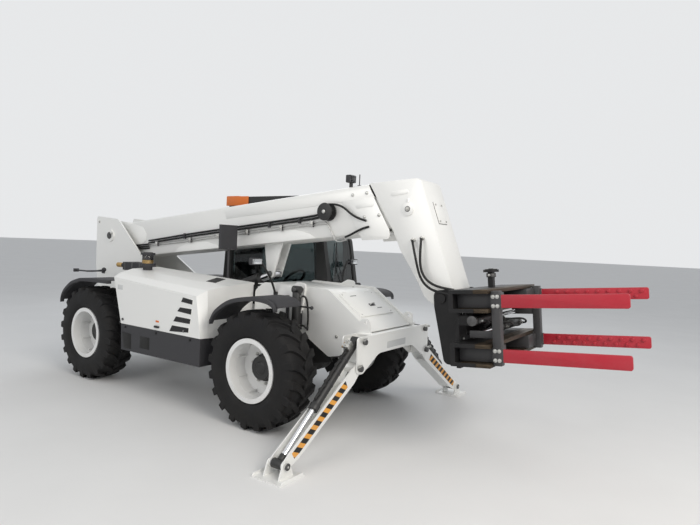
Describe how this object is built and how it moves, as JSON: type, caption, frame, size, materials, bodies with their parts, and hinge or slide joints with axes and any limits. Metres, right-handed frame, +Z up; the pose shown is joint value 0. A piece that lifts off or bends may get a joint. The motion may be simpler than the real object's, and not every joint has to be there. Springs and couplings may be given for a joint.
{
  "type": "telehandler",
  "caption": "White telescopic handler standing on wheels and two folding front stabilisers, with an offset cab, side engine hood and a rotating four-arm clamp on the boom head",
  "frame": {"origin": "on the ground below the middle of the machine's length and width", "axes": "+X forward, +Y to the left, +Z up"},
  "size_m": [7.7335, 3.8, 2.68],
  "materials": {
    "white_paint": "gloss enamel",
    "black_paint": "satin enamel",
    "black_plastic": "moulded",
    "tyre": "dull",
    "glass": "tinted",
    "grey_steel": "painted dark grey",
    "red_paint": "satin enamel",
    "chrome": "polished",
    "orange_plastic": "moulded",
    "seat_cloth": "woven"
  },
  "bodies": {
    "chassis": {"cab_frame": "black_paint", "cab_glass": "glass", "cab_roof": "black_paint", "chassis_frame": "white_paint", "counterweight": "black_paint", "engine_block": "black_paint", "exhaust_box": "black_paint", "fenders": "black_plastic", "front_axle": "black_paint", "front_frame": "white_paint", "mirror": "black_paint", "rear_axle": "black_paint", "roof_beacon": "orange_plastic", "seat": "seat_cloth", "side_panel": "black_plastic", "stabiliser_beam": "white_paint", "steering_column": "black_paint", "work_lamps": "black_paint"},
    "boom_outer": {"boom_outer": "white_paint", "boom_lines": "black_paint"},
    "boom_inner": {"boom_inner": "white_paint"},
    "carriage": {"carriage": "black_paint"},
    "clamp_frame": {"clamp_frame": "grey_steel", "hose_post": "grey_steel"},
    "clamp_arms_left": {"clamp_arms_left": "red_paint"},
    "clamp_arms_right": {"clamp_arms_right": "red_paint"},
    "lift_barrel": {"lift_barrel": "black_paint"},
    "lift_rod": {"lift_rod": "chrome"},
    "cab_door": {"cab_door": "black_paint", "door_glass": "glass"},
    "engine_hood": {"engine_hood": "white_paint", "air_cleaner": "black_plastic"},
    "front_hatch": {"front_hatch": "white_paint"},
    "stabiliser_leg_left": {"stabiliser_leg_left": "white_paint"},
    "stabiliser_pad_left": {"stabiliser_pad_left": "white_paint"},
    "stabiliser_barrel_left": {"stabiliser_barrel_left": "black_paint"},
    "stabiliser_rod_left": {"stabiliser_rod_left": "chrome"},
    "knuckle_front_left": {"knuckle_front_left": "black_paint"},
    "wheel_front_left": {"rim_front_left": "white_paint", "tyre_front_left": "tyre"},
    "knuckle_rear_left": {"knuckle_rear_left": "black_paint"},
    "wheel_rear_left": {"rim_rear_left": "white_paint", "tyre_rear_left": "tyre"},
    "stabiliser_leg_right": {"stabiliser_leg_right": "white_paint"},
    "stabiliser_pad_right": {"stabiliser_pad_right": "white_paint"},
    "stabiliser_barrel_right": {"stabiliser_barrel_right": "black_paint"},
    "stabiliser_rod_right": {"stabiliser_rod_right": "chrome"},
    "knuckle_front_right": {"knuckle_front_right": "black_paint"},
    "wheel_front_right": {"rim_front_right": "white_paint", "tyre_front_right": "tyre"},
    "knuckle_rear_right": {"knuckle_rear_right": "black_paint"},
    "wheel_rear_right": {"rim_rear_right": "white_paint", "tyre_rear_right": "tyre"}
  },
  "joints": [
    {"name": "boom_lift", "type": "hinge", "parent": "chassis", "child": "boom_outer", "pos_m": [-3.47814, 0, 1.95], "axis": [0, -1, 0], "range_deg": [-3, 52]},
    {"name": "boom_telescope", "type": "slide", "parent": "boom_outer", "child": "boom_inner", "axis": [0.9898, 0, 0.1426], "range_m": [0, 2.8]},
    {"name": "clamp_tilt", "type": "hinge", "parent": "boom_inner", "child": "carriage", "pos_m": [2.12186, 0, 1.48], "axis": [0, -1, 0], "range_deg": [-65, 12]},
    {"name": "clamp_rotate", "type": "hinge", "parent": "carriage", "child": "clamp_frame", "pos_m": [2.47186, 0, 1.275], "axis": [0.9954, 0, 0.0958], "range_deg": [-180, 180]},
    {"name": "clamp_left", "type": "slide", "parent": "clamp_frame", "child": "clamp_arms_left", "axis": [0, 1, 0], "range_m": [-0.33, 0.085]},
    {"name": "clamp_right", "type": "slide", "parent": "clamp_frame", "child": "clamp_arms_right", "axis": [0, -1, 0], "range_m": [-0.33, 0.085]},
    {"name": "lift_cylinder_swing", "type": "hinge", "parent": "chassis", "child": "lift_barrel", "pos_m": [-2.27814, 0, 0.86], "axis": [0, -1, 0], "range_deg": [-3.55, 53.32]},
    {"name": "lift_cylinder_stroke", "type": "slide", "parent": "lift_barrel", "child": "lift_rod", "axis": [0.9412, 0, 0.3379], "range_m": [-0.092, 1.4308]},
    {"name": "stabiliser_fold_left", "type": "hinge", "parent": "chassis", "child": "stabiliser_leg_left", "pos_m": [1.39786, 0.715, 0.755], "axis": [1, 0, 0], "range_deg": [0, 82]},
    {"name": "stabiliser_foot_left", "type": "hinge", "parent": "stabiliser_leg_left", "child": "stabiliser_pad_left", "pos_m": [1.39786, 1.75, 0.105], "axis": [1, 0, 0], "range_deg": [-25, 25]},
    {"name": "stabiliser_cylinder_swing_left", "type": "hinge", "parent": "chassis", "child": "stabiliser_barrel_left", "pos_m": [1.39786, 0.655, 1.01], "axis": [1, 0, 0], "range_deg": [-0.5, 78.79]},
    {"name": "stabiliser_cylinder_stroke_left", "type": "slide", "parent": "stabiliser_barrel_left", "child": "stabiliser_rod_left", "axis": [0, 0.7708, -0.6371], "range_m": [-0.3442, 0.01]},
    {"name": "stabiliser_fold_right", "type": "hinge", "parent": "chassis", "child": "stabiliser_leg_right", "pos_m": [1.39786, -0.715, 0.755], "axis": [-1, 0, 0], "range_deg": [0, 82]},
    {"name": "stabiliser_foot_right", "type": "hinge", "parent": "stabiliser_leg_right", "child": "stabiliser_pad_right", "pos_m": [1.39786, -1.75, 0.105], "axis": [-1, 0, 0], "range_deg": [-25, 25]},
    {"name": "stabiliser_cylinder_swing_right", "type": "hinge", "parent": "chassis", "child": "stabiliser_barrel_right", "pos_m": [1.39786, -0.655, 1.01], "axis": [-1, 0, 0], "range_deg": [-0.5, 78.79]},
    {"name": "stabiliser_cylinder_stroke_right", "type": "slide", "parent": "stabiliser_barrel_right", "child": "stabiliser_rod_right", "axis": [0, -0.7708, -0.6371], "range_m": [-0.3442, 0.01]},
    {"name": "steer_front_left", "type": "hinge", "parent": "chassis", "child": "knuckle_front_left", "pos_m": [0.42186, 0.74, 0.625], "axis": [0, 0, 1], "range_deg": [-26, 26]},
    {"name": "spin_front_left", "type": "hinge", "parent": "knuckle_front_left", "child": "wheel_front_left", "pos_m": [0.42186, 0.98, 0.625], "axis": [0, 1, 0], "continuous": true},
    {"name": "steer_front_right", "type": "hinge", "parent": "chassis", "child": "knuckle_front_right", "pos_m": [0.42186, -0.74, 0.625], "axis": [0, 0, 1], "range_deg": [-26, 26]},
    {"name": "spin_front_right", "type": "hinge", "parent": "knuckle_front_right", "child": "wheel_front_right", "pos_m": [0.42186, -0.98, 0.625], "axis": [0, 1, 0], "continuous": true},
    {"name": "steer_rear_left", "type": "hinge", "parent": "chassis", "child": "knuckle_rear_left", "pos_m": [-2.67814, 0.74, 0.625], "axis": [0, 0, 1], "range_deg": [-26, 26]},
    {"name": "spin_rear_left", "type": "hinge", "parent": "knuckle_rear_left", "child": "wheel_rear_left", "pos_m": [-2.67814, 0.98, 0.625], "axis": [0, 1, 0], "continuous": true},
    {"name": "steer_rear_right", "type": "hinge", "parent": "chassis", "child": "knuckle_rear_right", "pos_m": [-2.67814, -0.74, 0.625], "axis": [0, 0, 1], "range_deg": [-26, 26]},
    {"name": "spin_rear_right", "type": "hinge", "parent": "knuckle_rear_right", "child": "wheel_rear_right", "pos_m": [-2.67814, -0.98, 0.625], "axis": [0, 1, 0], "continuous": true},
    {"name": "cab_door_swing", "type": "hinge", "parent": "chassis", "child": "cab_door", "pos_m": [-1.75314, 1.172, 1.25], "axis": [0, 0, 1], "range_deg": [0, 100]},
    {"name": "engine_hood_lift", "type": "hinge", "parent": "chassis", "child": "engine_hood", "pos_m": [-1.17814, -0.45, 1.45], "axis": [-1, 0, 0], "range_deg": [0, 60]},
    {"name": "front_hatch_lift", "type": "hinge", "parent": "chassis", "child": "front_hatch", "pos_m": [0.92843, 0, 1.40311], "axis": [0, -1, 0], "range_deg": [0, 55]}
  ],
  "couplings": [
    {"joint": "lift_cylinder_swing", "follows": "boom_lift", "ratio": 1.0157},
    {"joint": "lift_cylinder_stroke", "follows": "boom_lift", "m_per_rad": 1.5655},
    {"joint": "stabiliser_cylinder_swing_left", "follows": "stabiliser_fold_left", "ratio": 0.95471},
    {"joint": "stabiliser_cylinder_stroke_left", "follows": "stabiliser_fold_left", "m_per_rad": -0.23349},
    {"joint": "stabiliser_cylinder_swing_right", "follows": "stabiliser_fold_right", "ratio": 0.95471},
    {"joint": "stabiliser_cylinder_stroke_right", "follows": "stabiliser_fold_right", "m_per_rad": -0.23349},
    {"joint": "steer_front_right", "follows": "steer_front_left", "ratio": 1},
    {"joint": "steer_rear_right", "follows": "steer_rear_left", "ratio": 1}
  ]
}
